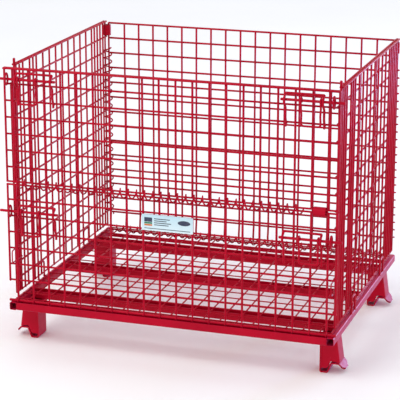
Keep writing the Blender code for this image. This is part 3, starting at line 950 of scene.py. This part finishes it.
def hook(shape, x):
    """A gate upright's foot, bent into an eye round the hinge rod."""
    path = [at(x, 0, ROD_Z + HOOK_TOP), at(x, 0, ROD_Z + HOOK_NECK)]
    for angle in range(20, 341, 20):
        turn = math.radians(angle)
        path.append(at(x, -HOOK_RADIUS * math.sin(turn), ROD_Z + HOOK_RADIUS * math.cos(turn)))
    tube(shape, path, HOOK_WIRE, sides=8)


def gate_wires(shape, columns, rows, low, high, hinge_row):
    """Half of the gate: uprights in its plane, levels behind them, and the level that the coil holds."""
    for x in columns:
        tube(shape, [at(x, 0, low), at(x, 0, high)], GATE_UPRIGHT, sides=10)
    reach = HALF_WIDTH + GATE_UPRIGHT
    tube(shape, [at(-reach, 0, hinge_row), at(reach, 0, hinge_row)], GATE_LEVEL, sides=10)
    for z in rows:
        tube(shape, [at(-reach, GATE_LAYER, z), at(reach, GATE_LAYER, z)], GATE_LEVEL, sides=10)
        for x in columns:
            mesh_weld(shape, at(x, GATE_LAYER / 2, z), GATE_WELD)


GATE_COLUMNS = [(n + 0.5) * PITCH for n in range(-10, 10)]
GATE_EDGES = [-HALF_WIDTH, HALF_WIDTH]


def lower_gate():
    """The edge uprights stop at the lowest level, and the others hook round the hinge rod."""
    shape = Shape()
    rows = [GATE_ROW_START + n * PITCH for n in range(LOWER_GATE_ROWS)]
    gate_wires(shape, GATE_COLUMNS, rows, ROD_Z + GATE_FOOT_RISE, GATE_SPLIT[0], GATE_SPLIT[0])
    for x in GATE_EDGES:
        tube(shape, [at(x, 0, rows[0] - GATE_TIP), at(x, 0, GATE_SPLIT[0])], GATE_UPRIGHT, sides=10)
        for z in rows:
            mesh_weld(shape, at(x, GATE_LAYER / 2, z), GATE_WELD)
    for x in GATE_COLUMNS:
        hook(shape, x)
    piece(shape, ["lower_gate"], "mesh_paint")


def upper_gate():
    """The top has one level behind the uprights and one in front."""
    shape = Shape()
    rows = [GATE_TOP] + [GATE_ROW_START + n * PITCH for n in range(LOWER_GATE_ROWS + 1, GATE_ROWS)]
    columns = GATE_COLUMNS + GATE_EDGES
    gate_wires(shape, columns, rows, GATE_SPLIT[1], GATE_TOP + GATE_TIP, GATE_SPLIT[1])
    reach = HALF_WIDTH + GATE_UPRIGHT
    front_rail = [at(-reach, -GATE_LAYER, GATE_TOP), at(reach, -GATE_LAYER, GATE_TOP)]
    tube(shape, front_rail, GATE_LEVEL, sides=10)
    piece(shape, ["upper_gate"], "mesh_paint")


def label_plate():
    """A small printed plate on the gate, with generic blocks and lines and no lettering."""
    low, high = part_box("label_plate")
    front, back = -0.0044, -0.0029
    shape = Shape()
    corner, block_corner, line_corner = 0.003, 0.0008, 0.0006
    face = box_outline(low.x, low.z, high.x, high.z, corner)
    extrude(shape, face, lambda u, v, w: at(u, w, v), front, back)
    ink = 0.00012
    raised = front - ink
    half = high.x
    centre_z = (low.z + high.z) / 2

    def printed(look, outline):
        shape.look = look
        extrude(shape, outline, lambda u, v, w: at(u, w, v), raised, front)

    def block(look, u0, v0, u1, v1, radius=block_corner):
        printed(look, box_outline(u0, centre_z + v0, u1, centre_z + v1, radius))

    def oval(look, u, v, half_u, half_v):
        turns = [2 * math.pi * n / 36 for n in range(36)]
        printed(look, [(u + half_u * math.cos(t), centre_z + v + half_v * math.sin(t)) for t in turns])

    dark, green, orange, grey = 1, 2, 3, 4
    swatch_left, swatch_right = -half + 0.008, -half + 0.032
    block(dark, swatch_left, 0.002, swatch_right, 0.015)
    block(green, swatch_left, -0.004, swatch_right, 0.001)
    block(orange, swatch_left, -0.010, swatch_right, -0.005)
    oval(dark, half - 0.027, 0.006, 0.019, 0.0075)
    line_left, line_step = -half + 0.038, 0.006
    for n, reach in enumerate((0.048, 0.038, 0.052, 0.044)):
        low_v, high_v = 0.011 - line_step * n, 0.0135 - line_step * n
        block(grey, line_left, low_v, line_left + reach, high_v, line_corner)
    block(grey, swatch_left, -0.0185, half - 0.008, -0.0165, line_corner)
    looks = [
        LOOKS["label_face"],
        print_paint("plate_dark", PLATE_DARK, roughness=0.40),
        print_paint("plate_green", PLATE_GREEN, roughness=0.40),
        print_paint("plate_orange", PLATE_ORANGE, roughness=0.40),
        print_paint("plate_lines", PLATE_LINES, roughness=0.45),
    ]
    piece(shape, ["label_plate"], "label_face", looks=looks)


def bracket(name, side):
    """An upside-down U whose legs bulge over the bolt. Their feet bend back to a level of the mesh."""
    low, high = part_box(name)
    z = high.z - BRACKET_RADIUS - BRACKET_RISE
    near, far = sorted((abs(low.x), abs(high.x)))
    inner = side * near + side * BRACKET_RADIUS
    outer = side * far - side * BRACKET_RADIUS
    leg = [
        (BRACKET_FOOT, -BRACKET_DROP),
        (BRACKET_FOOT, -0.066),
        (BRACKET_BACK, -0.052),
        (BRACKET_BACK, -0.024),
        (BRACKET_FRONT, -0.008),
        (BRACKET_FRONT, 0.005),
        (BRACKET_NECK, 0.0135),
        (BRACKET_BACK, BRACKET_RISE),
    ]
    path = [at(inner, depth, z + rise) for depth, rise in leg]
    path += [at(outer, depth, z + rise) for depth, rise in reversed(leg)]
    shape = Shape()
    bend = 0.006
    tube(shape, bent(path, bend, parts=6), BRACKET_RADIUS, sides=12)
    weld_depth, weld_z = BRACKET_FOOT + 0.003, z - 0.069
    for x in (inner, outer):
        blob(shape, at(x, weld_depth, weld_z), BRACKET_WELD, sides=10, levels=5)
    piece(shape, [name], "latch_paint")


def eye(name):
    """An upright oval ring that the bolt's end slides through, welded to the level below it."""
    low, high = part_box(name)
    centre = (low + high) / 2
    half = (high - low) / 2
    depth_reach, height_reach = half.y - EYE_RADIUS, half.z - EYE_RADIUS
    path = []
    parts = 32
    for n in range(parts):
        angle = 2 * math.pi * n / parts
        y = centre.y + depth_reach * math.cos(angle)
        path.append((centre.x, y, centre.z + height_reach * math.sin(angle)))
    shape = Shape()
    tube(shape, path, EYE_RADIUS, sides=12, closed=True)
    root_depth = -0.0035
    root = at(centre.x, root_depth, centre.z - height_reach)
    blob(shape, root, EYE_WELD, sides=10, levels=5)
    piece(shape, [name], "latch_paint")


def bolt(name):
    """The sliding bar, round and plain."""
    centre, half = middle(name), half_size(name)
    reach = Vector((half.x, 0, 0))
    shape = Shape()
    tube(shape, [centre - reach, centre + reach], BOLT_RADIUS, sides=16)
    piece(shape, [name], "latch_paint")


def handle(name, bolt_name):
    """A hanging U, a little narrower at its waist. Its two ends curl over the bolt."""
    low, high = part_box(name)
    axis = middle(bolt_name)
    curl = BOLT_RADIUS + HANDLE_CLEARANCE + HANDLE_RADIUS
    xs = sorted((low.x + HANDLE_RADIUS, high.x - HANDLE_RADIUS))

    def leg(x, inward):
        points = []
        for angle in range(-60, 181, 15):
            turn = math.radians(angle)
            y = axis.y + curl * math.cos(turn)
            points.append(Vector((x, y, axis.z + curl * math.sin(turn))))
        waist = x + inward * HANDLE_WAIST
        points.append(Vector((x, axis.y - 0.0045, axis.z - 0.010)))
        points.append(Vector((x, axis.y - 0.0015, axis.z - 0.020)))
        points.append(Vector((waist, axis.y - 0.0008, axis.z - 0.042)))
        return points

    bottom = axis.z - HANDLE_DROP
    path = leg(xs[0], 1)
    corners = [path[-1], Vector((xs[0], axis.y, bottom)), Vector((xs[1], axis.y, bottom))]
    other = leg(xs[1], -1)
    corners.append(other[-1])
    bend = 0.009
    path = path[:-1] + bent(corners, bend, parts=8) + other[-2::-1]
    shape = Shape()
    tube(shape, path, HANDLE_RADIUS, sides=12)
    piece(shape, [name], "latch_paint")


# ---- the whole box ----


def build_base():
    for name in ("front_rail", "front_beam", "middle_beam", "rear_beam"):
        channel(name)
    rear_rail()
    floor_mesh()
    hinge_rods()
    for label, side in SIDES.items():
        side_rail(f"{label}_rail")
        for end in ("front", "rear"):
            foot_strip(f"{end}_{label}_foot", side)
            foot_shell(f"{end}_{label}_foot", side)
            staple(f"{end}_{label}_staple")


def build_walls():
    back_panel()
    rear_start = at(COIL_START, BACK, REAR_COIL_Z)
    helix("rear_coil", rear_start, BACKWARD, UP, RIGHT, REAR_TURNS, REAR_COIL_RADIUS, REAR_COIL_SHIFT)
    for label, side in SIDES.items():
        hinge_x = side * SIDE_HINGE_X
        inward = -side * RIGHT
        side_panel(f"{label}_panel", side)
        corner_pin(f"{label}_corner_pin", side)
        keeper(f"{label}_keeper", side)
        start = at(hinge_x, BACK, SIDE_COIL_LOW)
        helix(f"{label}_coil", start, inward, BACKWARD, UP, SIDE_TURNS, SIDE_COIL_RADIUS, SIDE_COIL_SHIFT)
        clip(f"{label}_clip", at(hinge_x, BACK, middle(f"{label}_clip").z), UP, SIDE_CLIP)


def build_gate():
    lower_gate()
    upper_gate()
    label_plate()
    start = at(COIL_START, GATE_COIL_DEPTH, GATE_HINGE_Z)
    helix("gate_coil", start, BACKWARD, UP, RIGHT, GATE_TURNS, GATE_COIL_RADIUS, 0)
    clip("gate_clip", at(middle("gate_clip").x, GATE_CLIP_DEPTH, GATE_HINGE_Z), RIGHT, GATE_CLIP)
    for half in ("lower", "upper"):
        for label, side in SIDES.items():
            name = f"{half}_{label}"
            bracket(f"{name}_bracket", side)
            eye(f"{name}_eye")
            bolt(f"{name}_bolt")
            handle(f"{name}_handle", f"{name}_bolt")


# ---- studio ----


def studio_floor():
    """Pale paper, a little uneven in tone."""
    reach = 40
    data = bpy.data.meshes.new("studio_floor")
    corners = [(-reach, -reach, 0), (reach, -reach, 0), (reach, reach, 0), (-reach, reach, 0)]
    data.from_pydata(corners, [], [(0, 1, 2, 3)])
    floor = bpy.data.objects.new("studio_floor", data)
    bpy.context.scene.collection.objects.link(floor)
    material, tree, shader, where = new_material("studio_paper")
    tone = spread(tree, noise(tree, where, scale=1.5, detail=3), 0.3, 0.7, 0, 1)
    tree.links.new(mixed(tree, tone, PAPER_LIGHT, PAPER_DARK), shader.inputs["Base Color"])
    shader.inputs["Roughness"].default_value = 0.9
    shader.inputs["Specular IOR Level"].default_value = 0.1
    data.materials.append(material)


def lamp(name, place, target, size, power, colour):
    """A square lamp that the camera doesn't see directly."""
    data = bpy.data.lights.new(name, "AREA")
    data.shape = "SQUARE"
    data.size = size
    data.energy = power
    data.color = colour
    made = bpy.data.objects.new(name, data)
    bpy.context.scene.collection.objects.link(made)
    made.location = place
    made.visible_camera = False
    made.rotation_euler = (Vector(target) - Vector(place)).to_track_quat("-Z", "Y").to_euler()


def studio_light():
    """Even daylight, a soft key from the front left, and a blue rim from the rear right."""
    world = bpy.data.worlds.new("studio_air")
    bpy.context.scene.world = world
    world.use_nodes = True
    air = world.node_tree.nodes["Background"]
    air.inputs["Color"].default_value = (*AIR, 1)
    air.inputs["Strength"].default_value = 1.0
    lamp("key", (-2.2, -3.2, 4.2), (0, 0, 0.4), size=2.6, power=80, colour=KEY_LIGHT)
    lamp("right_rim", (3.0, 4.8, 0.55), (0.3, 0, 0.3), size=1.0, power=220, colour=RIM_LIGHT)


def camera():
    """A long lens from the front right."""
    data = bpy.data.cameras.new("camera")
    data.lens = 159.18
    data.sensor_width = 36
    data.shift_x = 0.0078
    data.shift_y = -0.0181
    made = bpy.data.objects.new("camera", data)
    bpy.context.scene.collection.objects.link(made)
    made.location = (1.6111, -4.9822, 1.9083)
    yaw, pitch = math.radians(-18.340), math.radians(15.937)
    flat = math.cos(pitch)
    forward = Vector((math.sin(yaw) * flat, math.cos(yaw) * flat, -math.sin(pitch)))
    made.rotation_euler = forward.to_track_quat("-Z", "Y").to_euler()
    bpy.context.scene.camera = made


LOOKS = make_looks()
build_base()
build_walls()
build_gate()
studio_floor()
studio_light()
camera()
bpy.context.scene.view_settings.view_transform = "Standard"
